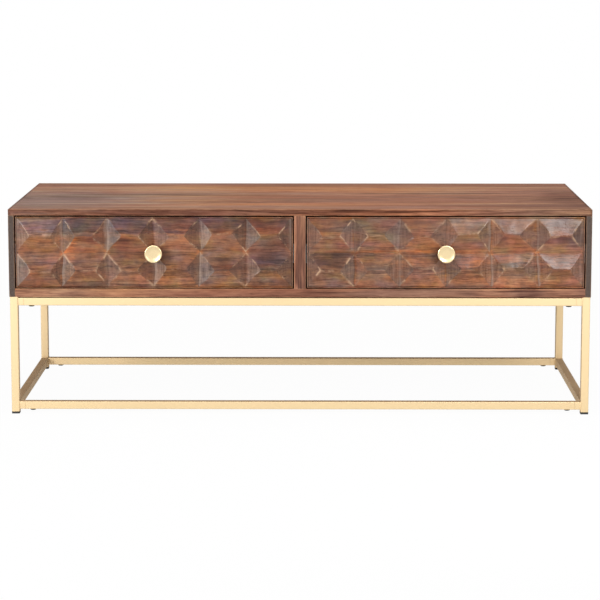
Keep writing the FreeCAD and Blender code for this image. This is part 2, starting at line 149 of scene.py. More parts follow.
# Colours, linear
brown_tones = (
    (0.20, (0.055, 0.021, 0.014)),
    (0.36, (0.140, 0.056, 0.035)),
    (0.50, (0.260, 0.112, 0.067)),
    (0.63, (0.360, 0.167, 0.098)),
    (0.80, (0.520, 0.280, 0.165)),
)
dark_stain = (0.050, 0.022, 0.014, 1)
end_grain_brown = (0.094, 0.070, 0.058, 1)
worn_wood = (0.49, 0.30, 0.18, 1)
side_cut_brown = (0.200, 0.115, 0.084, 1)
chalky_wood = (0.40, 0.285, 0.225, 1)
pale_tones = (
    (0.25, (0.40, 0.245, 0.125)),
    (0.45, (0.52, 0.345, 0.195)),
    (0.60, (0.60, 0.420, 0.250)),
    (0.80, (0.70, 0.520, 0.330)),
)
pale_end_grain = (0.36, 0.23, 0.125, 1)
gold = (0.82, 0.625, 0.368, 1)
clouded_gold = (0.80, 0.63, 0.36, 1)
bright_gold = (0.97, 0.84, 0.60, 1)
# Painted shade of the gold on faces up and inward
painted_shade_gold = (0.42, 0.275, 0.155, 1)
knob_gold = (0.855, 0.690, 0.415, 1)
turned_knob_gold = (0.825, 0.640, 0.370, 1)
slide_zinc = (0.40, 0.41, 0.42)
screw_zinc = (0.56, 0.57, 0.58)
stained_zinc_share = 0.72
oxide_black = (0.018, 0.016, 0.016, 1)
oxide_grey = (0.050, 0.044, 0.040, 1)
plastic_black = (0.016, 0.015, 0.014, 1)
plastic_dust = (0.045, 0.042, 0.040, 1)

# Wood. Gains are the strength of the streaks, year rings, fibres, broad changes and dark lines. Streaks and
# patches are how many streaks and hue patches a metre has, along, across and through the board. Waves are how
# many waves of the grain it has, along and across, and their height. Hues is how strong the hue patches are.
board_grain = SimpleNamespace(gains=(0.64, 0.20, 0.36, 0.26, 0.14), streaks=(3.6, 58.0, 58.0),
                              patches=(3.2, 34.0, 34.0), waves=(5.0, 18.0, 4.0 * mm), hues=0.3)
carved_grain = SimpleNamespace(gains=(0.42, 0.08, 0.30, 0.42, 0.09), streaks=(19.0, 130.0, 130.0),
                               patches=(19.0, 38.0, 38.0), waves=(24.0, 40.0, 11.0 * mm), hues=0.9)
pale_gains = (0.40, 0.15, 0.20, 0.30, 0.11)
carved_mottle = 0.26
plank_change = 0.10
stained_ring_width = 8.5 * mm
stained_heart_depth = 100 * mm

# Tints that the wood's colour is multiplied by; light, shade, dark, dusk, pale and sheen also paint light and
# shade
tints = {
    "grey": (0.88, 1.17, 1.46, 1),
    "orange": (1.13, 0.94, 0.72, 1),
    "plum": (0.98, 0.91, 1.13, 1),
    "olive": (0.96, 1.05, 0.78, 1),
    "amber": (1.12, 1.00, 0.80, 1),
    "warm": (1.02, 0.96, 0.81, 1),
    "dark": (0.50, 0.46, 0.46, 1),
    "shade": (0.68, 0.64, 0.66, 1),
    "dusk": (0.86, 0.86, 0.88, 1),
    "light": (1.30, 1.24, 1.12, 1),
    "pale": (1.10, 1.26, 1.32, 1),
    "sheen": (1.25, 1.45, 1.70, 1),
}

# Patches by tint, in millimetres: middle along and across the board, half length and half width
top_marks = {
    "amber": ((10, 150, 400, 80),),
    # The grey patch at the left end of the top is painted sheen.
    "grey": ((-500, -60, 260, 200),),
    "dark": ((-340, 30, 170, 10), (300, 55, 240, 12), (-549, 0, 5, 400), (549, 0, 5, 400)),
    "light": ((-30, -150, 300, 30), (-490, -238, 90, 5), (200, -238, 110, 5)),
    "shade": ((420, -175, 260, 34), (535, -40, 80, 190), (-250, -238, 180, 5)),
    "pale": ((-255, 0, 150, 330), (285, 110, 110, 80), (480, -238, 120, 5)),
    "dusk": ((-10, 225, 200, 44), (-510, -180, 130, 60), (490, -170, 130, 70), (520, 120, 60, 90)),
}
bottom_marks = {
    "light": ((-430, -230, 220, 90), (365, -237, 45, 20), (500, -237, 42, 20)),
    "pale": ((-400, -237, 260, 20),),
    "shade": ((32, -237, 48, 20), (430, -237, 28, 20)),
}
# On the fronts, light, pale, shade, dark, dusk and sheen patches are mostly painted light, shade and
# highlights.
left_front_marks = {
    "grey": ((-380, 366, 230, 22),),
    "sheen": ((-500, 362, 62, 22),),
    "light": ((-438, 310, 19, 90), (-437, 310, 18, 90), (-284, 344, 19, 34), (-231, 256, 50, 15),
              (-90, 344, 17, 34), (-275, 245, 300, 8), (-16, 310, 4, 90), (-495, 328, 55, 18),
              (-190, 334, 90, 8), (-320, 258, 150, 14)),
    "pale": ((-495, 328, 60, 20), (-275, 258, 360, 18)),
    "shade": ((-52, 328, 40, 15), (-235, 366, 420, 20), (-325, 324, 42, 26), (-125, 282, 110, 10)),
    "plum": ((-300, 366, 330, 26), (-60, 302, 70, 20), (-445, 290, 60, 10)),
    "orange": ((-137, 350, 30, 7), (-60, 352, 34, 9), (-392, 357, 32, 13), (-470, 335, 60, 9),
               (-144, 283, 26, 6), (-60, 286, 24, 5)),
    # The last dark patch is a painted shadow round the knob.
    "dark": ((-365, 334, 70, 9), (-55, 302, 40, 14), (-145, 297, 30, 6), (-269, 305, 28, 26)),
}
right_front_marks = {
    "grey": ((95, 360, 60, 16), (470, 372, 60, 10)),
    "sheen": ((15, 310, 4, 90),),
    "light": ((260, 291, 190, 14), (175, 296, 90, 16), (365, 296, 80, 14), (232, 326, 44, 16),
              (430, 256, 130, 16), (438, 344, 19, 36), (90, 276, 18, 34), (212, 312, 46, 7),
              (380, 307, 170, 5), (535, 310, 4, 90), (340, 262, 260, 18), (320, 312, 60, 5)),
    "dusk": ((491, 368, 42, 14),),
    "shade": ((120, 366, 190, 24), (374, 344, 14, 28), (460, 344, 18, 32), (90, 344, 14, 28),
              (524, 344, 14, 28)),
    "plum": ((110, 327, 50, 8), (320, 325, 40, 8), (410, 330, 30, 6), (500, 336, 50, 12)),
    "orange": ((200, 311, 190, 6), (505, 345, 30, 6)),
    # The last dark patch is a painted shadow round the knob.
    "dark": ((66, 306, 60, 7), (512, 337, 46, 17), (512, 362, 50, 16), (60, 292, 60, 16),
             (269, 304, 28, 26)),
}


class Graph:
    """The nodes of one material or world."""

    def __init__(self, name, kind=bpy.data.materials):
        self.owner = kind.new(name)
        self.owner.use_nodes = True
        self.tree = self.owner.node_tree
        self.tree.nodes.clear()

    def value(self, kind, inputs=(), output=0, **settings):
        """One output of a new node."""
        made = self.tree.nodes.new(kind)
        for key, setting in settings.items():
            setattr(made, key, setting)
        for name, given in dict(inputs).items():
            if isinstance(given, Value):
                self.tree.links.new(given.socket, made.inputs[name])
            else:
                made.inputs[name].default_value = given
        return Value(self, made.outputs[output]) if made.outputs else None

    def place(self):
        return self.value("ShaderNodeTexCoord", output="Object")

    def facing(self, axis):
        return self.value("ShaderNodeTexCoord", output="Normal").parts()[axis]

    def attribute(self, name):
        return self.value("ShaderNodeAttribute", output="Fac", attribute_name=name)

    def vector(self, x, y, z):
        return self.value("ShaderNodeCombineXYZ", {0: x, 1: y, 2: z})

    def mix(self, share, first, second, blend="MIX"):
        inputs = {0: share, 6: first, 7: second}
        return self.value("ShaderNodeMix", inputs, 2, data_type="RGBA", blend_type=blend)

    def finish(self, **inputs):
        """The surface shader. An input's name is its socket's, with spaces as underscores."""
        named = {name.replace("_", " "): given for name, given in inputs.items()}
        self.value("ShaderNodeOutputMaterial", {0: self.value("ShaderNodeBsdfPrincipled", named)})
        return self.owner


class Value:
    """A node's output that can be calculated with. Each step adds nodes to its graph."""

    def __init__(self, graph, socket):
        self.graph = graph
        self.socket = socket

    def math(self, operation, other=0.0):
        return self.graph.value("ShaderNodeMath", {0: self, 1: other}, operation=operation)

    def __add__(self, other):
        return self.math("ADD", other)

    def __sub__(self, other):
        return self.math("SUBTRACT", other)

    def __mul__(self, other):
        return self.math("MULTIPLY", other)

    def __truediv__(self, other):
        return self.math("DIVIDE", other)

    def __abs__(self):
        return self.math("ABSOLUTE")

    __radd__ = __add__

    def largest(self, other):
        return self.math("MAXIMUM", other)

    def length(self, other):
        """Length of a step with this value and another as its two parts, square to each other."""
        return (self * self + other * other).math("SQRT")

    def centred(self, gain):
        """A value from 0 to 1 turned into one about zero, times a gain."""
        return (self - 0.5) * gain

    def smooth(self, low, high, low_result=0.0, high_result=1.0):
        inputs = {0: self, 1: low, 2: high, 3: low_result, 4: high_result}
        return self.graph.value("ShaderNodeMapRange", inputs, interpolation_type="SMOOTHSTEP")

    def parts(self):
        return [self.graph.value("ShaderNodeSeparateXYZ", {0: self}, axis) for axis in range(3)]

    def stretch(self, scales):
        return self.graph.value("ShaderNodeVectorMath", {0: self, 1: scales}, operation="MULTIPLY")

    def scaled(self, factor):
        return self.graph.value("ShaderNodeVectorMath", {0: self, "Scale": factor}, operation="SCALE")

    def shift(self, amount):
        return self.graph.value("ShaderNodeVectorMath", {0: self, 1: amount}, operation="ADD")

    def noise(self, scale, detail=2.0, roughness=0.5):
        """Soft noise at a place. The scale is one number, or one for each axis."""
        place, scale = (self.stretch(scale), 1.0) if isinstance(scale, tuple) else (self, scale)
        inputs = {"Vector": place, "Scale": scale, "Detail": detail, "Roughness": roughness}
        return self.graph.value("ShaderNodeTexNoise", inputs)

    def line_noise(self, scale):
        """Soft noise along one value."""
        return self.graph.value("ShaderNodeTexNoise", {"W": self, "Scale": scale}, noise_dimensions="1D")

    def bump(self, strength, distance):
        inputs = {"Height": self, "Strength": strength, "Distance": distance}
        return self.graph.value("ShaderNodeBump", inputs)

    def ramp(self, stops):
        colour = self.graph.value("ShaderNodeValToRGB", {0: self})
        points = colour.socket.node.color_ramp.elements
        while len(points) < len(stops):
            points.new(0.5)
        for point, (place, tone) in zip(points, stops):
            point.position = place
            point.color = (*tone, 1)
        return colour

    def mixed(self, share, other):
        return self.graph.mix(share, self, other)

    def tinted(self, share, kind):
        return self.graph.mix(share, self, tints[kind], "MULTIPLY")


# Wood materials

def mark_share(fields, mark, ragged):
    """How strongly a patch of tint shows, stain or painted light and shade, from 1 in its middle to 0 outside
    it.
    """
    middle_along, middle_across, half_long, half_wide = (size * mm for size in mark)
    off_along = (fields.along - middle_along) / half_long
    off_across = (fields.across - middle_across) / half_wide
    return (off_along.length(off_across) + ragged).smooth(0.3, 1.15, 1.0, 0.0)


def grain_fields(graph, order, ring_width, heart_depth, grain):
    """Patterns of a sawn board: year rings, streaks, fibres and pores, and its plank's own random numbers."""
    place = graph.place().parts()
    along, across, through = (place[axis] for axis in order)
    plank = graph.attribute("plank")
    chance = graph.value("ShaderNodeTexWhiteNoise", {"W": plank}, "Color", noise_dimensions="1D").parts()
    shifted = graph.vector(along + chance[0] * 5.0, across + chance[1] * 3.0, through)
    waves_along, waves_across, wave_height = grain.waves
    wave = shifted.noise((waves_along, waves_across, waves_across)).centred(wave_height)
    shifted = shifted.shift(graph.vector(0.0, wave, 0.0))

    radius = (across + chance[2].centred(0.16)).length(through + heart_depth)
    radius += shifted.noise((1.5, 5.0, 5.0), detail=3.0).centred(0.070)
    radius += shifted.noise((11.0, 60.0, 60.0)).centred(0.004)
    year = radius / ring_width
    season = year.math("FRACT")
    late = season.smooth(0.40, 0.90) * season.smooth(0.92, 1.0, 1.0, 0.0)
    return SimpleNamespace(
        rings=late * year.line_noise(0.45).smooth(0.35, 0.7),
        streaks=shifted.noise(grain.streaks, detail=5.0, roughness=0.78),
        lines=shifted.noise((3.4, 330.0, 330.0), roughness=0.55).smooth(0.56, 0.68),
        flecks=shifted.noise((34.0, 250.0, 250.0), detail=3.0, roughness=0.6),
        fibres=shifted.noise((13.0, 480.0, 480.0), roughness=0.6),
        pores=shifted.noise((70.0, 1500.0, 1500.0), detail=1.0).smooth(0.66, 0.76),
        broad=shifted.noise((1.6, 9.0, 9.0)),
        end=abs(graph.facing(order[0])),
        shifted=shifted,
        plank_tone=chance[1].centred(plank_change),
        along=along,
        across=across,
    )


def wood_value(fields, gains):
    """How light the wood is, from 0 to 1, before its colour."""
    streak_gain, ring_gain, fibre_gain, broad_gain, line_gain = gains
    light = 0.5 + fields.streaks.centred(streak_gain) + fields.flecks.centred(fibre_gain * 0.9)
    light = light + fields.fibres.centred(fibre_gain) + fields.broad.centred(broad_gain)
    return light - fields.rings * ring_gain - fields.lines * line_gain + fields.plank_tone


def edge_wear(graph, reach, rare):
    """Soft strokes where an edge is rubbed light. Rare is how much of it isn't."""
    patches = graph.place().noise(42.0, detail=4.0, roughness=0.65)
    near = graph.attribute("edge_distance").smooth(reach * 0.15, reach, 1.0, 0.0)
    return near * patches.smooth(rare, rare + 0.15)


def stain_hues(fields, colour, grain, painted_end_sheen):
    """Greyer, more orange, plum and olive stretches of the stain, and a painted grey sheen towards the ends
    of the board.
    """
    stretched = fields.shifted.stretch(grain.patches)
    first = stretched.shift((4.0, 2.0, 7.0)).noise(1.0, detail=3.0)
    second = stretched.shift((1.0, 9.0, 3.0)).noise(1.0, detail=3.0)
    colour = colour.tinted(second.smooth(0.50, 0.66, 0.0, grain.hues), "plum")
    colour = colour.tinted(second.smooth(0.50, 0.34, 0.0, grain.hues), "olive")
    colour = colour.tinted(first.smooth(0.50, 0.70, 0.0, 0.15 + 0.65 * grain.hues), "orange")
    greyed = first.smooth(0.54, 0.32, 0.0, 0.3 + 0.7 * grain.hues)
    # Painted sheen: greyer towards the ends of the board.
    if painted_end_sheen:
        outer = abs(fields.along).smooth(0.22, 0.50)
        greyed = greyed.largest(outer * fields.streaks.smooth(0.3, 0.7, painted_end_sheen, 0.3 * painted_end_sheen))
    return colour.tinted(greyed, "grey")


def carved_tones(graph, fields, colour):
    """What carving does to the stain: side cuts are greyer and chalky, and creases are worn or dark, with a
    painted highlight where cells meet.
    """
    scratches = graph.place().noise((300.0, 60.0, 24.0), detail=3.0, roughness=0.6)
    blotches = graph.place().noise((190.0, 60.0, 120.0), detail=4.0, roughness=0.7)
    valley_distance = graph.attribute("valley_distance")
    warmth = graph.attribute("warmth")

    side_cut = fields.end.smooth(0.10, 0.26)
    colour = colour.tinted(1.0, "warm").mixed(side_cut * 0.3, side_cut_brown)
    colour = colour.scaled(side_cut * scratches.centred(1.1) + 1.0)
    colour = colour.tinted(warmth.smooth(0.0, 1.0), "orange").tinted(warmth.smooth(0.0, -1.0), "grey")
    # Chalky scratches, set per facet, partly stand for painted sheen.
    chalk = scratches.smooth(0.34, 0.72) * side_cut * graph.attribute("chalk")
    colour = colour.mixed(chalk * 0.55, chalky_wood)
    strip = (valley_distance + blotches.centred(9.0 * mm)).smooth(0.8 * mm, 6.5 * mm, 1.0, 0.0)
    strip = strip * graph.attribute("strip") * scratches.smooth(0.25, 0.60, 0.35, 1.0)
    # The tone of each face carries painted light and shade: by facing, a lighter border and darker hidden
    # sides.
    colour = colour.mixed(strip * 0.55, chalky_wood).scaled(graph.attribute("tone") * 0.15 + 1.0)

    dirt = valley_distance.smooth(0.2 * mm, 2.0 * mm, 0.55, 0.0) * graph.attribute("dirt")
    # Painted highlight, lighter and more orange, where the cells meet.
    crossing = graph.attribute("crossing_distance").smooth(0.1 * crossing_reach, crossing_reach, 0.8, 0.0)
    colour = colour.mixed(dirt, dark_stain).tinted(crossing, "orange").tinted(crossing, "light")
    return colour.mixed(edge_wear(graph, 3.4 * mm, 0.48) * graph.attribute("wear") * 0.95, worn_wood)


def stained_wood(name, order, painted_end_sheen=0.0, lightness=0.0, front_shade=0.0, marks=(), joints=(),
                 carved=False, roughness=0.50, specular=0.25):
    """Dark stained hardwood. The order gives the axes along, across and through the board."""
    graph = Graph(name)
    grain = carved_grain if carved else board_grain
    fields = grain_fields(graph, order, stained_ring_width, stained_heart_depth, grain)
    if carved:
        mottle = graph.place().noise(95.0, detail=3.0).centred(carved_mottle)
    else:
        mottle = graph.attribute("tone")
    light = wood_value(fields, grain.gains) + mottle + lightness
    if front_shade:
        light -= graph.facing(1).smooth(-0.8, -0.4, front_shade, 0.0)
    colour = stain_hues(fields, light.ramp(brown_tones), grain, painted_end_sheen)
    ragged = fields.shifted.noise((14.0, 150.0, 150.0), detail=3.0).centred(1.5)
    for kind, places in dict(marks).items():
        for mark in places:
            colour = colour.tinted(mark_share(fields, mark, ragged), kind)
    for joint in joints:
        off = abs(fields.across - joint)
        colour = colour.tinted(off.smooth(0.2 * glue_line, glue_line, 0.8, 0.0), "dark")
    colour = colour.mixed(fields.pores * 0.6, dark_stain)

    end = fields.end.smooth(0.45, 0.8)
    rays = graph.place().noise(350.0).smooth(0.3, 0.7, 0.0, 0.5)
    colour = colour.mixed(end, graph.mix(rays, end_grain_brown, dark_stain))
    if carved:
        colour = carved_tones(graph, fields, colour)
    else:
        # Painted highlight along the rounded edges, besides their rubbed wear.
        painted_edge_highlight = graph.attribute("edge_distance").smooth(0.6 * mm, 3.0 * mm, 0.6, 0.0)
        colour = colour.tinted(painted_edge_highlight, "light").mixed(edge_wear(graph, 1.2 * mm, 0.40) * 0.4, worn_wood)

    rough = (roughness + fields.fibres.centred(0.18) + fields.pores * 0.2 + end * 0.18
             + fields.broad.centred(0.12))
    height = fields.fibres * 0.5 + fields.pores * -0.9 + fields.rings * -0.25
    return graph.finish(Base_Color=colour, Roughness=rough, Normal=height.bump(0.35, 0.25 * mm),
                        Specular_IOR_Level=specular)


def pale_wood(name, order, ring_width, heart_depth):
    """Planed wood without stain, for the drawer boxes and the dowels."""
    graph = Graph(name)
    fields = grain_fields(graph, order, ring_width, heart_depth, board_grain)
    end = fields.end.smooth(0.45, 0.8)
    colour = wood_value(fields, pale_gains).ramp(pale_tones)
    colour = colour.mixed(fields.pores * 0.45, pale_end_grain).mixed(end, pale_end_grain)
    height = fields.fibres * 0.4 + fields.pores * -0.8
    return graph.finish(Base_Color=colour, Roughness=0.55 + fields.fibres.centred(0.15) + end * 0.15,
                        Normal=height.bump(0.3, 0.2 * mm))


# Metal and plastic materials

def painted_gold():
    """Satin gold powder coat with a faint orange peel; on top and on the inner sides of the frame it is
    duller and darkened with painted shade.
    """
    graph = Graph("gold_powder_coat")
    place = graph.place()
    cloud = place.noise(9.0)
    peel = place.noise(900.0)
    speck = place.noise(2600.0, detail=1.0)
    outward = graph.facing(0) * place.parts()[0]
    # Faces up and inward get a rougher, less metallic coat and painted shade in their colour.
    dull_and_painted_shade = graph.facing(2).smooth(0.35, 0.9).largest(outward.smooth(-0.45, -0.15, 0.6, 0.0))
    colour = graph.mix(cloud.smooth(0.3, 0.7, 0.0, 0.5), gold, clouded_gold)
    colour = colour.mixed(speck.smooth(0.62, 0.8, 0.0, 0.25), bright_gold)
    colour = colour.mixed(dull_and_painted_shade * cloud.smooth(0.2, 0.7, 0.75, 0.95), painted_shade_gold)
    return graph.finish(Base_Color=colour, Metallic=dull_and_painted_shade.smooth(0.0, 1.0, 0.7, 0.15),
                        Roughness=0.50 + cloud.centred(0.08) + peel.centred(0.06) + dull_and_painted_shade * 0.2,
                        Specular_IOR_Level=dull_and_painted_shade.smooth(0.0, 1.0, 0.3, 0.05),
                        Normal=peel.bump(0.12, 0.15 * mm))


def turned_gold(name, centre):
    """Pale gold with fine turning marks about an axis along Y."""
    graph = Graph(name)
    x, _, z = graph.place().parts()
    rings = (x - centre.x).length(z - centre.z).line_noise(2600.0)
    cloud = graph.place().noise(60.0)
    colour = graph.mix(rings.smooth(0.3, 0.7), knob_gold, turned_knob_gold)
    return graph.finish(Base_Color=colour, Metallic=0.95, Anisotropic=0.3, Normal=rings.bump(0.25, 0.05 * mm),
                        Roughness=0.30 + rings.centred(0.12) + cloud.centred(0.08))


def zinc_steel(name, tone, roughness):
    """Zinc-plated steel with soft drawing marks along Y."""
    graph = Graph(name)
    marks = graph.place().noise((1600.0, 30.0, 1600.0))
    cloud = graph.place().noise(45.0, detail=3.0)
    stained = tuple(stained_zinc_share * share for share in tone)
    colour = graph.mix(cloud.smooth(0.35, 0.7, 0.0, 0.6), (*tone, 1), (*stained, 1))
    return graph.finish(Base_Color=colour, Metallic=1.0, Normal=marks.bump(0.1, 0.05 * mm),
                        Roughness=roughness + marks.centred(0.16) + cloud.centred(0.12))


def black_oxide():
    """Black steel of the bolts."""
    graph = Graph("black_oxide_steel")
    cloud = graph.place().noise(260.0, detail=3.0)
    colour = graph.mix(cloud.smooth(0.35, 0.75), oxide_black, oxide_grey)
    return graph.finish(Base_Color=colour, Metallic=0.7, Roughness=0.38 + cloud.centred(0.2),
                        Normal=cloud.bump(0.12, 0.05 * mm))


def moulded_plastic():
    """Black plastic of the foot caps, a little dusty."""
    graph = Graph("black_moulded_plastic")
    grain = graph.place().noise(2200.0)
    dust = graph.place().noise(120.0, detail=3.0)
    colour = graph.mix(dust.smooth(0.45, 0.8), plastic_black, plastic_dust)
    return graph.finish(Base_Color=colour, Roughness=0.58 + grain.centred(0.2),
                        Normal=grain.bump(0.2, 0.08 * mm))


# Mesh helpers

def add_piece(name, vertices, faces, material, body, slot, replaced=(), at_points=(), at_faces=()):
    """A mesh from its points and faces, with its looks at points and faces, dressed and set on its body."""
    mesh = bpy.data.meshes.new(name)
    mesh.from_pydata(vertices, [], faces)
    mesh.shade_smooth()
    for domain, looks in (("POINT", at_points), ("FACE", at_faces)):
        for key, values in dict(looks).items():
            mesh.attributes.new(key, "FLOAT", domain).data.foreach_set("value", values)
    mesh.materials.append(material)
    piece = bpy.data.objects.new(name, mesh)
    scene.collection.objects.link(piece)
    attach(piece, body)
    if replaced:
        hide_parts(*replaced)
    return piece


def even_normals(piece):
    """Lets wide flat faces decide the shading next to a small rounding."""
    piece.modifiers.new("even_normals", "WEIGHTED_NORMAL").keep_sharp = True


def circle(centre, side_a, side_b, radius, steps):
    """Points round a circle in the plane of two directions."""
    turns = [step * 2 * math.pi / steps for step in range(steps)]
    return [centre + (side_a * math.cos(turn) + side_b * math.sin(turn)) * radius for turn in turns]


def ring_tube(rings, closed_ends=True):
    """Vertices and faces of a skin over rings with the same number of points, with a cap on each end."""
    vertices = [point for ring in rings for point in ring]
    count = len(rings[0])
    faces = []
    for step in range(len(rings) - 1):
        low, high = step * count, (step + 1) * count
        for corner in range(count):
            following = (corner + 1) % count
            faces.append((low + corner, low + following, high + following, high + corner))
    if closed_ends:
        faces.append(tuple(range(count))[::-1])
        faces.append(tuple(range(len(vertices) - count, len(vertices))))
    return vertices, faces


def joined(shapes):
    """One list of vertices and one of faces from several."""
    vertices = []
    faces = []
    for more_vertices, more_faces in shapes:
        start = len(vertices)
        vertices += more_vertices
        faces += [tuple(corner + start for corner in face) for face in more_faces]
    return vertices, faces


# Cabinet

def grid_lines(low, high, radius, extra):
    """Places of the grid on one axis of a board, close together where its edge is rounded."""
    near = (0.0, radius * (2 - math.sqrt(2)), radius, wear_reach)
    middle = sorted(place for place in extra if low + wear_reach < place < high - wear_reach)
    return [low + step for step in near] + middle + [high - step for step in reversed(near)]


def rounded_board(name, node, material, joints=(), tones=(0.0,), radius=board_round, slot="stained_wood"):
    """A board with rounded edges. Its planks meet at the joints, and tones is how light each of them is."""
    low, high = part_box(node)
    extra = [[], list(joints), []]
    long_axis = max(range(3), key=lambda axis: high[axis] - low[axis])
    length = high[long_axis] - low[long_axis]
    extra[long_axis] += [low[long_axis] + length * step / board_steps for step in range(board_steps)]
    lines = [grid_lines(low[axis], high[axis], radius, extra[axis]) for axis in range(3)]
    index = {}
    vertices = []
    distances = []

    def vertex(key):
        if key not in index:
            point = Vector([lines[axis][key[axis]] for axis in range(3)])
            places = list(zip(point, low, high))
            core = Vector([min(max(place, start + radius), stop - radius) for place, start, stop in places])
            index[key] = len(vertices)
            vertices.append(core + (point - core).normalized() * radius)
            depths = sorted(min(place - start, stop - place) for place, start, stop in places)
            distances.append(min(depths[1], wear_reach))
        return index[key]

    faces = []
    planks = []
    for axis in range(3):
        across, down = (axis + 1) % 3, (axis + 2) % 3
        last, last_across, last_down = (len(lines[other]) - 1 for other in (axis, across, down))
        for end, first, second in product((0, last), range(last_across), range(last_down)):
            corners = []
            for step_a, step_b in corner_steps:
                key = [end, end, end]
                key[across] = first + step_a
                key[down] = second + step_b
                corners.append(vertex(tuple(key)))
            faces.append(corners if end else corners[::-1])
            middle_y = sum(vertices[corner].y for corner in corners) / len(corners)
            planks.append(sum(middle_y > joint for joint in joints))
    seed = sum(low) * plank_seed_scale
    at_faces = {"plank": [plank + seed for plank in planks],
                "tone": [tones[min(plank, len(tones) - 1)] for plank in planks]}
    even_normals(add_piece(name, vertices, faces, material, "cabinet", slot, (node,),
                           {"edge_distance": distances}, at_faces))


def make_cabinet():
    along_x, along_y, along_z = (0, 1, 2), (1, 2, 0), (2, 0, 1)
    joints = [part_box("top_panel")[0].y + place for place in plank_joints]
    top_wood = stained_wood("top_wood", along_x, painted_end_sheen=0.5, lightness=0.04, front_shade=0.14,
                            marks=top_marks, joints=joints, roughness=0.72, specular=0.04)
    bottom_wood = stained_wood("bottom_wood", along_x, lightness=0.02, marks=bottom_marks, joints=joints,
                               specular=0.1)
    side_wood = stained_wood("side_wood", along_y)
    divider_wood = stained_wood("divider_wood", along_z, lightness=0.05)
    back_wood = stained_wood("back_wood_grain", along_x)
    rounded_board("top_board", "top_panel", top_wood, joints, plank_tones, top_round)
    rounded_board("bottom_board", "bottom_panel", bottom_wood, joints)
    for side, _ in sides:
        rounded_board(side + "_side_board", side + "_side_panel", side_wood)
    rounded_board("divider_board", "centre_divider", divider_wood)
    rounded_board("back_board", "back_panel", back_wood, slot="back_wood")


# Gold frame

def square_ring(centre, direction, half, inset=0.0, steps=4):
    """Points round a square with rounded corners, square to a direction along an axis."""
    side_a = Vector((direction.y, direction.z, direction.x))
    side_b = direction.cross(side_a)
    bend = max(tube_corner - inset, 0.0)
    reach = half - tube_corner
    points = []
    for quarter in range(4):
        middle = (quarter + 0.5) * math.pi / 2
        for step in range(steps + 1):
            turn = (quarter + step / steps) * math.pi / 2
            a = math.copysign(reach, math.cos(middle)) + bend * math.cos(turn)
            b = math.copysign(reach, math.sin(middle)) + bend * math.sin(turn)
            points.append(centre + side_a * a + side_b * b)
    return points


def square_bar(start, end, half):
    """A square bar with rounded corners and softly rounded ends."""
    direction = (end - start).normalized()
    slope = tube_end_round * (1 - math.sqrt(0.5))
    profile = ((0.0, tube_end_round), (slope, slope), (tube_end_round, 0.0))
    stops = [(start + direction * reach, inset) for reach, inset in profile]
    stops += [(end - direction * reach, inset) for reach, inset in reversed(profile)]
    return ring_tube([square_ring(centre, direction, half, inset) for centre, inset in stops])


def bar_of_box(low, high):
    """A square bar that fills a node's box, along its longest side."""
    axis = max(range(3), key=lambda side: high[side] - low[side])
    start = (low + high) / 2
    end = start.copy()
    start[axis], end[axis] = low[axis], high[axis]
    return square_bar(start, end, (high[(axis + 1) % 3] - low[(axis + 1) % 3]) / 2)


def weld_bead(centre, direction, half, seed):
    """A thin uneven bead of weld round the end of a square bar."""
    path = square_ring(centre, direction, half, steps=weld_corner_steps)
    rings = []
    for count, point in enumerate(path):
        outward = (point - centre).normalized()
        wobble = 1 + weld_unevenness * noise.noise(Vector((count * 0.9, seed * 3.1, 0.5)))
        rings.append(circle(point, outward, direction, weld_radius * wobble, weld_turns))
    rings.append(rings[0])
    vertices, faces = ring_tube(rings, closed_ends=False)
    keep = len(path) * weld_turns
    return vertices[:keep], [tuple(corner % keep for corner in face) for face in faces]


def make_gold_frame(material):
    """Rails, legs and side bars, each softly rounded, with their collars and welds."""
    nodes = []
    for end in ends:
        nodes += ["%s_%s_rail" % (end, level) for level in levels]
        nodes += ["%s_%s_leg" % (end, side) for side, _ in sides]
    nodes += ["%s_%s_side_bar" % (side, level) for side, _ in sides for level in levels]
    for node in nodes:
        shape = bar_of_box(*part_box(node))
        even_normals(add_piece(node + "_tube", *shape, material, "cabinet", "gold_paint", (node,)))
    make_collars_and_welds(material)


def make_collars_and_welds(material):
    """Collars that join each long rail to a leg, and the weld beads of these and the lower side bars."""
    collars = []
    welds = []
    for end in ends:
        for level in levels:
            low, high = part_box("%s_%s_rail" % (end, level))
            half = (high.z - low.z) / 2
            for _, sign in sides:
                rail_end = (low + high) / 2
                rail_end.x = sign * high.x
                leg_face = rail_end + Vector((sign * collar_length, 0, 0))
                collars.append(square_bar(rail_end, leg_face, half))
                welds.append(weld_bead(leg_face, Vector((sign, 0, 0)), half, len(welds)))
    for side, _ in sides:
        low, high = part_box(side + "_lower_side_bar")
        for y, sign in ((low.y, -1), (high.y, 1)):
            joint = (low + high) / 2
            joint.y = y
            welds.append(weld_bead(joint, Vector((0, sign, 0)), (high.z - low.z) / 2, len(welds)))
    shape = joined(collars)
    even_normals(add_piece("rail_collars", *shape, material, "cabinet", "gold_paint", ("rail_connectors",)))
    add_piece("weld_beads", *joined(welds), material, "cabinet", "gold_paint")


# Knobs

def arc_points(centre, radius, start_degrees, end_degrees, steps):
    """Points of an arc in the plane of radius and outward reach."""
    sweep = end_degrees - start_degrees
    turns = [math.radians(start_degrees + sweep * step / steps) for step in range(steps + 1)]
    return [(centre[0] + radius * math.cos(turn), centre[1] + radius * math.sin(turn)) for turn in turns]


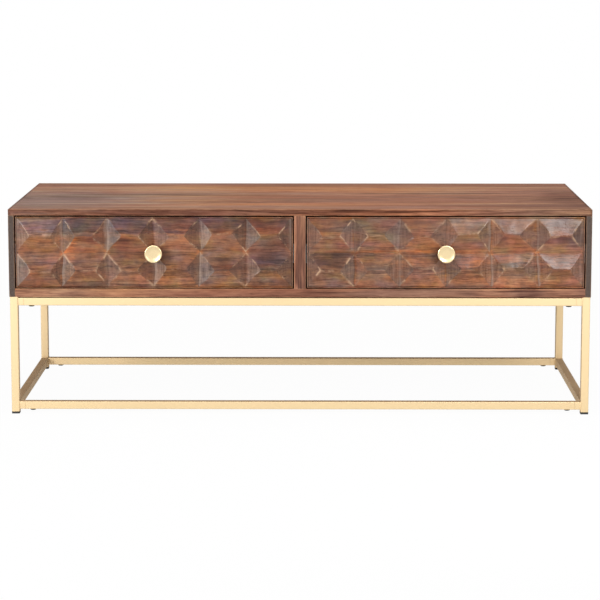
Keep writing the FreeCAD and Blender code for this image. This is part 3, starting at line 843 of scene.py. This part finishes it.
def knob_profile(radius, reach):
    """Outline of the knob from its foot to the middle of its face: how far from its axis, and how far out."""
    under = reach - knob_edge
    bend = knob_edge_round
    rim_inner = radius - knob_rim
    face = reach - knob_dish
    flat = radius * knob_flat_share
    outline = [(knob_stem - knob_foot_round, 0.0), (knob_stem, knob_foot_round),
               (knob_stem, (under - knob_flare) * 0.5)]
    outline += arc_points((knob_stem + knob_flare, under - knob_flare), knob_flare, 180, 90, 8)
    outline += arc_points((radius - bend, under + bend), bend, -90, 0, 6)
    outline += arc_points((radius - bend, reach - bend), bend, 0, 90, 6)
    for step in range(knob_bowl_steps + 1):
        share = 1 - step / knob_bowl_steps
        outline.append((flat + (rim_inner - flat) * share, face + knob_dish * share ** knob_bowl_power))
    return outline + [(flat * share, face) for share in (0.75, 0.5, 0.25)]


def make_knob(side):
    """A turned knob, and its gold with rings about its own axis."""
    node = side + "_drawer_knob"
    low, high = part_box(node)
    centre = (low + high) / 2
    centre.y = high.y
    across, down = Vector((1, 0, 0)), Vector((0, 0, -1))
    rings = []
    for radius, reach in knob_profile((high.x - low.x) / 2, high.y - low.y):
        rings.append(circle(centre - Vector((0, reach, 0)), across, down, radius, knob_turns))
    material = turned_gold(side + "_turned_gold", centre)
    shape = ring_tube(rings)
    even_normals(add_piece(side + "_turned_knob", *shape, material, side + "_drawer", "knob_gold", (node,)))


# Carved drawer fronts

def crowded(count):
    """Steps from 0 to 1 that lie closer together near both ends."""
    steps = []
    for step in range(count + 1):
        even = step / count
        bunched = 0.5 - 0.5 * math.cos(math.pi * even)
        steps.append(even + (bunched - even) * crowding_share)
    return steps


def segment_distance(point, start, end):
    span = end - start
    share = max(0.0, min(1.0, (point - start).dot(span) / span.dot(span)))
    return (point - start - span * share).length


class CarvedFront:
    """The skin of a drawer front with hand-carved cells, on a slab."""

    def __init__(self, side, seed):
        self.side = side
        self.seed = seed
        self.chance = random.Random(seed)
        self.joint = front_plank_joints[side]
        self.low, self.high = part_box(side + "_drawer_front")
        self.centre = (self.low + self.high) / 2
        self.half_x = (self.high.x - self.low.x) / 2 - border
        self.half_z = (self.high.z - self.low.z) / 2 - border
        self.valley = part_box(side + "_drawer_knob")[1].y
        self.relief = self.valley - self.low.y
        self.index = {}
        self.vertices = []
        self.faces = []
        self.at_points = {name: [] for name in ("edge_distance", "valley_distance", "crossing_distance")}
        self.at_faces = {name: [] for name in ("tone", "warmth", "chalk", "strip", "wear", "dirt", "plank")}

    def jitter(self, amount):
        return self.chance.uniform(-amount, amount)

    def corners(self):
        """The points where cells meet, a little off a true grid inside the border."""
        width, tall = 2 * self.half_x / carving_columns, 2 * self.half_z / carving_rows
        grid = {}
        for column, row in product(range(carving_columns + 1), range(carving_rows + 1)):
            x = self.low.x + border + column * width
            z = self.low.z + border + row * tall
            inside_z = 0 < row < carving_rows
            if not (inside_z and column == carving_columns // 2):
                x += self.jitter(hand_shift) if 0 < column < carving_columns else 0
                z += self.jitter(hand_shift * 0.6) if inside_z else 0
            grid[column, row] = Vector((x, z))
        return grid

    def add_point(self, point, *distances):
        """The number of a new point, with its distances from an edge, a valley and a crossing."""
        for values, distance in zip(self.at_points.values(), distances):
            values.append(distance)
        self.vertices.append(point)
        return len(self.vertices) - 1

    def vertex(self, point, height, edge, valley):
        """The number of the point at a place of the carving. Neighbouring facets share theirs."""
        key = (round(point.x * keys_per_metre), round(point.y * keys_per_metre))
        for near in product(*((place - 1, place, place + 1) for place in key)):
            if near in self.index:
                key = near
        if key not in self.index:
            crossing = min((point - other).length for other in self.crossings)
            place = Vector((point.x, self.valley - height, point.y))
            self.index[key] = self.add_point(place, edge, valley, crossing)
        return self.index[key]

    def facet_looks(self, facet, outer):
        """How one facet differs from the next, with painted light and shade by which way it faces. Facets 1
        and 3 face right and left.
        """
        upright = facet % 2 == 1
        chalk = facet_chalk_and_sheen[self.side][facet] if upright else 0.0
        return {
            "tone": self.chance.uniform(-1.1, 1.1) + facet_painted_shade[self.side][facet],
            "warmth": self.chance.uniform(-0.6, 0.6) + facet_warmth_and_sheen[self.side][facet],
            "chalk": chalk * self.chance.uniform(0.1, 1.4),
            "strip": self.chance.choice((0.0, 0.0, 0.4, 1.0)) if upright else 0.0,
            "wear": self.chance.uniform(0.3, 1.0) if upright else self.chance.uniform(0.0, 0.5),
            "dirt": 0.0 if outer else self.chance.uniform(0.1, 0.8),
        }

    def cell(self, base, outer):
        """Four facets that rise from a cell's base to its ridge. Outer tells which meet the border."""
        middle = sum(base, Vector((0, 0))) / 4 + Vector((self.jitter(hand_shift), self.jitter(hand_shift)))
        half_ridge = ridge_length / 2 + self.jitter(hand_shift)
        tilt = self.jitter(hand_shift * 0.5)
        peak = self.relief - self.chance.uniform(0.1 * mm, hand_depth)
        ridge = [middle + Vector((step * half_ridge, step * tilt)) for step in (-1, 1)]
        tops = [ridge[0], ridge[1], ridge[1], ridge[0]]
        creases = [(ridge[0], ridge[1])] + list(zip(base, tops))
        for side in range(4):
            following = (side + 1) % 4
            hollow = hollow_depth * self.chance.uniform(0.2, 1.2)
            across_steps = crowded(cell_steps_long if side % 2 == 0 else cell_steps_short)
            rows = []
            for rise in crowded(cell_steps_slope):
                start = base[side].lerp(tops[side], rise)
                end = base[following].lerp(tops[following], rise)
                row = []
                for share in across_steps:
                    point = start.lerp(end, share)
                    dip = hollow * math.sin(math.pi * rise) * 4 * share * (1 - share)
                    edge = min(segment_distance(point, *crease) for crease in creases)
                    valley = segment_distance(point, base[side], base[following])
                    row.append(self.vertex(point, peak * rise - dip, edge, valley))
                rows.append(row)
            self.fill(rows, self.facet_looks(side, outer[side]))

    def add_face(self, corners, looks):
        self.faces.append(tuple(corners))
        middle = sum(self.vertices[corner].z for corner in corners) / len(corners)
        looks = {**looks, "plank": self.seed + float(middle > self.joint)}
        for name, values in self.at_faces.items():
            values.append(looks.get(name, 0.0))

    def fill(self, rows, looks):
        """Faces between rows of points, without those that have shrunk to nothing."""
        for lower, upper in zip(rows, rows[1:]):
            for step in range(len(lower) - 1):
                corners = [lower[step], lower[step + 1], upper[step + 1], upper[step]]
                kept = [corner for place, corner in enumerate(corners) if corner not in corners[:place]]
                if len(kept) > 2:
                    self.add_face(kept, looks)

    def insets(self):
        """How far each point lies inside the border."""
        return [min(point.x - self.low.x, self.high.x - point.x,
                    point.z - self.low.z, self.high.z - point.z) - border for point in self.vertices]

    def rim(self):
        """The points on the border of the carving, in order round it."""
        def turn(corner):
            point = self.vertices[corner] - self.centre
            return math.atan2(point.z / self.half_z, point.x / self.half_x)

        return sorted((corner for corner, inset in enumerate(self.insets()) if inset < rim_slack), key=turn)

    def soften(self):
        """Moves each inner point towards its neighbours, which rounds the creases."""
        neighbours = [set() for _ in self.vertices]
        for face in self.faces:
            for place, corner in enumerate(face):
                neighbours[corner].add(face[place - 1])
                neighbours[face[place - 1]].add(corner)
        fixed = set(self.rim())
        for _ in range(soft_passes):
            moved = []
            for corner, point in enumerate(self.vertices):
                if corner not in fixed:
                    others = neighbours[corner]
                    mean = sum((self.vertices[other] for other in others), Vector()) / len(others)
                    point = point.lerp(mean, soft_share)
                moved.append(point)
            self.vertices = moved

    def tool_marks(self):
        """Small unevenness of hand work, and the flat seat under the knob."""
        for corner, (point, inset) in enumerate(zip(self.vertices, self.insets())):
            fade = min(1.0, max(0.0, inset / calm_border))
            place = point * drift_density + Vector((self.seed, 0, 0))
            drift = Vector((noise.noise(place), 0, noise.noise(place + Vector((9, 9, 9)))))
            roughened = noise.noise(point * tool_density + Vector((self.seed, 5, 5)))
            height = self.valley - point.y
            height = max(0.0, height - tool_depth * (1 + roughened) * fade * min(1.0, height / mm))
            distance = math.hypot(point.x - self.centre.x, point.z - self.centre.z)
            height *= min(1.0, max(0.0, (distance - seat_radius) / seat_wall))
            moved = Vector((point.x, self.valley - height, point.z))
            self.vertices[corner] = moved + drift * (drift_depth * fade)

    def close(self):
        """The flat border, the rounded edge, the side walls and the back."""
        bend = front_edge_round
        slope = bend * (1 - math.sqrt(0.5))
        front, back = self.valley, self.high.y
        profile = ((border * 0.5, front), (border - bend, front), (border - slope, front + slope),
                   (border, front + bend), (border, back - bend), (border - slope, back - slope),
                   (border - bend, back))
        previous = self.rim()
        outline = [self.vertices[corner] for corner in previous]
        for reach, y in profile:
            edge = abs(border - slope - reach) if y < back - bend else wear_reach
            # Painted light on the border and painted shade on the slab's sides, which show in the gaps.
            looks = painted_gap_shade if y > front + bend else border_wear_and_painted_light
            ring = []
            for point in outline:
                x = self.centre.x + (point.x - self.centre.x) * (self.half_x + reach) / self.half_x
                z = self.centre.z + (point.z - self.centre.z) * (self.half_z + reach) / self.half_z
                ring.append(self.add_point(Vector((x, y, z)), edge, wear_reach, crossing_reach))
            for place in range(len(ring)):
                following = (place + 1) % len(ring)
                self.add_face((previous[place], previous[following], ring[following], ring[place]), looks)
            previous = ring
        self.add_face(previous, {})

    def build(self):
        grid = self.corners()
        inner_columns, inner_rows = range(1, carving_columns), range(1, carving_rows)
        self.crossings = [grid[place] for place in product(inner_columns, inner_rows)]
        for column, row in product(range(carving_columns), range(carving_rows)):
            base = [grid[column + step_x, row + step_z] for step_x, step_z in corner_steps]
            self.cell(base, (row == 0, column == carving_columns - 1, row == carving_rows - 1, column == 0))
        self.soften()
        self.tool_marks()
        self.close()


def make_carved_front(side, seed, marks):
    material = stained_wood(side + "_front_wood", (0, 2, 1), marks=marks, carved=True, lightness=-0.03,
                            roughness=0.30, specular=0.32)
    front = CarvedFront(side, seed)
    front.build()
    add_piece(side + "_carved_front", front.vertices, front.faces, material, side + "_drawer", "carved_wood",
              (side + "_drawer_front",), front.at_points, front.at_faces)


# CAD nodes that stay as they are

def dress_nodes():
    """Their materials, by the first of these words that a node's name holds."""
    steel = zinc_steel("slide_zinc", slide_zinc, 0.42)
    oxide = black_oxide()
    box_end_wood = pale_wood("drawer_end_wood", (0, 2, 1), 6 * mm, 50 * mm)
    materials = {
        "ball_cage": steel,
        "moving_rail": steel,
        "fixed_rail": steel,
        "cabinet_bolts": oxide,
        "rail_bolts": oxide,
        "foot_caps": moulded_plastic(),
        "dowels": pale_wood("dowel_beech", (0, 1, 2), 4 * mm, 20 * mm),
        "screw": zinc_steel("screw_zinc", screw_zinc, 0.34),
        "box_bottom": pale_wood("drawer_bottom_plywood", (0, 1, 2), 22 * mm, 300 * mm),
        "box_front": box_end_wood,
        "box_back": box_end_wood,
        "_box_": pale_wood("drawer_side_wood", (1, 2, 0), 6 * mm, 50 * mm),
    }
    for node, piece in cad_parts.items():
        found = [material for word, material in materials.items() if word in node]
        if found:
            piece.data.materials.clear()
            piece.data.materials.append(found[0])


# Studio

def background_rays(graph):
    """Two values: 1 for rays straight from the camera, and 1 for mirrored or refracted rays."""
    names = ("Is Camera Ray", "Is Glossy Ray", "Is Transmission Ray")
    direct, glossy, refracted = (graph.value("ShaderNodeLightPath", output=name) for name in names)
    return direct, glossy.largest(refracted)


def make_floor():
    graph = Graph("studio_floor")
    x, y, _ = graph.place().parts()
    reach = x.length(y)
    direct, mirrored = background_rays(graph)
    direct = direct * reach.smooth(*direct_floor, direct_near_glow, 1.0)
    mirrored = mirrored * reach.smooth(*mirrored_floor, mirrored_near_glow, 1.0)
    paper = graph.place().noise(40.0)
    tone = paper.smooth(0.0, 1.0, floor_white - paper_change, floor_white + paper_change)
    diffuse = graph.value("ShaderNodeBsdfDiffuse", {"Color": graph.vector(tone, tone, tone)})
    glow = graph.value("ShaderNodeEmission", {"Color": white, "Strength": 1.0})
    mixed = graph.value("ShaderNodeMixShader", {0: direct.largest(mirrored), 1: diffuse, 2: glow})
    graph.value("ShaderNodeOutputMaterial", {0: mixed})
    mesh = bpy.data.meshes.new("studio_floor")
    corners = [((x * 2 - 1) * floor_half, (y * 2 - 1) * floor_half, 0) for x, y in corner_steps]
    mesh.from_pydata(corners, [], [(0, 1, 2, 3)])
    mesh.materials.append(graph.owner)
    floor = bpy.data.objects.new("studio_floor", mesh)
    scene.collection.objects.link(floor)


def make_world():
    graph = Graph("studio", bpy.data.worlds)
    scene.world = graph.owner
    direct, mirrored = background_rays(graph)
    strength = direct.largest(mirrored).smooth(0.0, 1.0, sky_light, 1.0)
    sky = graph.value("ShaderNodeBackground", {"Color": white, "Strength": strength})
    graph.value("ShaderNodeOutputWorld", {0: sky})


def make_lamps():
    for name, place, aim, width, tall, power in lamps:
        data = bpy.data.lights.new(name, "AREA")
        data.shape = "RECTANGLE"
        data.size = width
        data.size_y = tall
        data.energy = power
        lamp = bpy.data.objects.new(name, data)
        lamp.location = place
        lamp.rotation_euler = (aim - place).to_track_quat("-Z", "Y").to_euler()
        lamp.visible_camera = False
        scene.collection.objects.link(lamp)


def make_camera():
    data = bpy.data.cameras.new("camera")
    data.lens = camera_lens
    data.clip_end = camera_reach
    camera = bpy.data.objects.new("camera", data)
    camera.location = camera_place
    camera.rotation_euler = (math.pi / 2 - camera_down, 0, camera_turn)
    scene.collection.objects.link(camera)
    scene.camera = camera


make_camera()
make_world()
make_floor()
make_lamps()
make_cabinet()
for side_name, front_seed, front_marks in (("left", 7, left_front_marks), ("right", 12, right_front_marks)):
    make_carved_front(side_name, front_seed, front_marks)
    make_knob(side_name)
make_gold_frame(painted_gold())
dress_nodes()
scene.view_settings.view_transform = "Standard"
